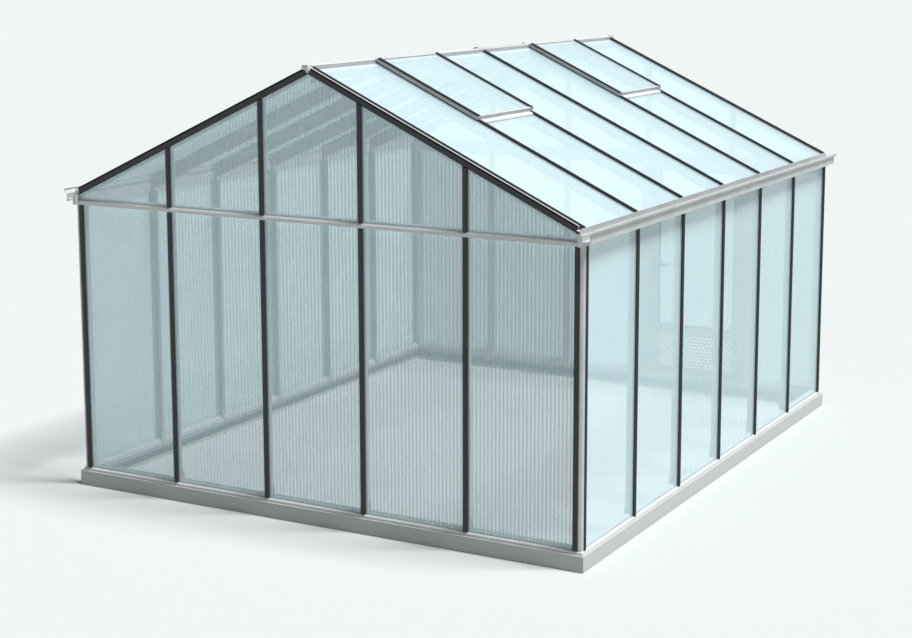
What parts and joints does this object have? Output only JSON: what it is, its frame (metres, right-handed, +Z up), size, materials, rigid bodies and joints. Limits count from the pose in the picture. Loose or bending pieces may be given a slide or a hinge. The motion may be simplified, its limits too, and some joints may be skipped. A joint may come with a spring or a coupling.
{
  "type": "polycarbonate greenhouse",
  "caption": "Gable-roofed greenhouse: aluminium frame on a low plinth, twin-wall sheets under black gaskets, eave gutters, raised roof vents and one hinged door.",
  "frame": {"origin": "on the ground under the middle of the building", "axes": "+X across the gables, +Y along the ridge towards the gable without a door, +Z up"},
  "size_m": [3.946, 4.6043, 2.9614],
  "materials": {
    "frame_aluminium": "extrusion with a satin silver-grey powder coat",
    "plinth_aluminium": "extrusion with a light grey powder coat",
    "black_gasket": "extruded black rubber, satin",
    "twin_wall_sheet": "clear twin-wall polycarbonate with ribs running down the sheet",
    "handle_plastic": "moulded black nylon"
  },
  "bodies": {
    "building": {"back_plinth": "plinth_aluminium", "front_plinth": "plinth_aluminium", "left_plinth": "plinth_aluminium", "right_plinth": "plinth_aluminium", "sills": "frame_aluminium", "corner_posts": "frame_aluminium", "back_wall_bars": "frame_aluminium", "front_wall_bars": "frame_aluminium", "left_wall_bars": "frame_aluminium", "right_wall_bars": "frame_aluminium", "back_gable_bars": "frame_aluminium", "front_gable_bars": "frame_aluminium", "back_cross_rail": "frame_aluminium", "front_cross_rail": "frame_aluminium", "front_header": "frame_aluminium", "left_gutter": "frame_aluminium", "right_gutter": "frame_aluminium", "ridge_beam": "frame_aluminium", "ridge_end_caps": "frame_aluminium", "left_rafters": "frame_aluminium", "right_rafters": "frame_aluminium", "gable_rafters": "frame_aluminium", "back_wall_sheets": "twin_wall_sheet", "front_wall_sheets": "twin_wall_sheet", "left_wall_sheets": "twin_wall_sheet", "right_wall_sheets": "twin_wall_sheet", "back_gable_sheets": "twin_wall_sheet", "front_gable_sheets": "twin_wall_sheet", "left_roof_sheets": "twin_wall_sheet", "right_roof_sheets": "twin_wall_sheet", "wall_gaskets": "black_gasket", "gable_gaskets": "black_gasket", "roof_gaskets": "black_gasket", "vent_sills": "frame_aluminium", "vent_frames": "frame_aluminium", "vent_sheets": "twin_wall_sheet", "vent_gaskets": "black_gasket", "door_posts": "frame_aluminium", "door_post_hinges": "frame_aluminium"},
    "door": {"door_frame": "frame_aluminium", "door_sheet": "twin_wall_sheet", "door_kick_panel": "frame_aluminium", "door_leaf_hinges": "frame_aluminium", "door_handle": "handle_plastic"}
  },
  "joints": [
    {"name": "door_swing", "type": "hinge", "parent": "building", "child": "door", "pos_m": [-1.225, -2.284, 0], "axis": [0, 0, -1], "range_deg": [0, 100]}
  ]
}
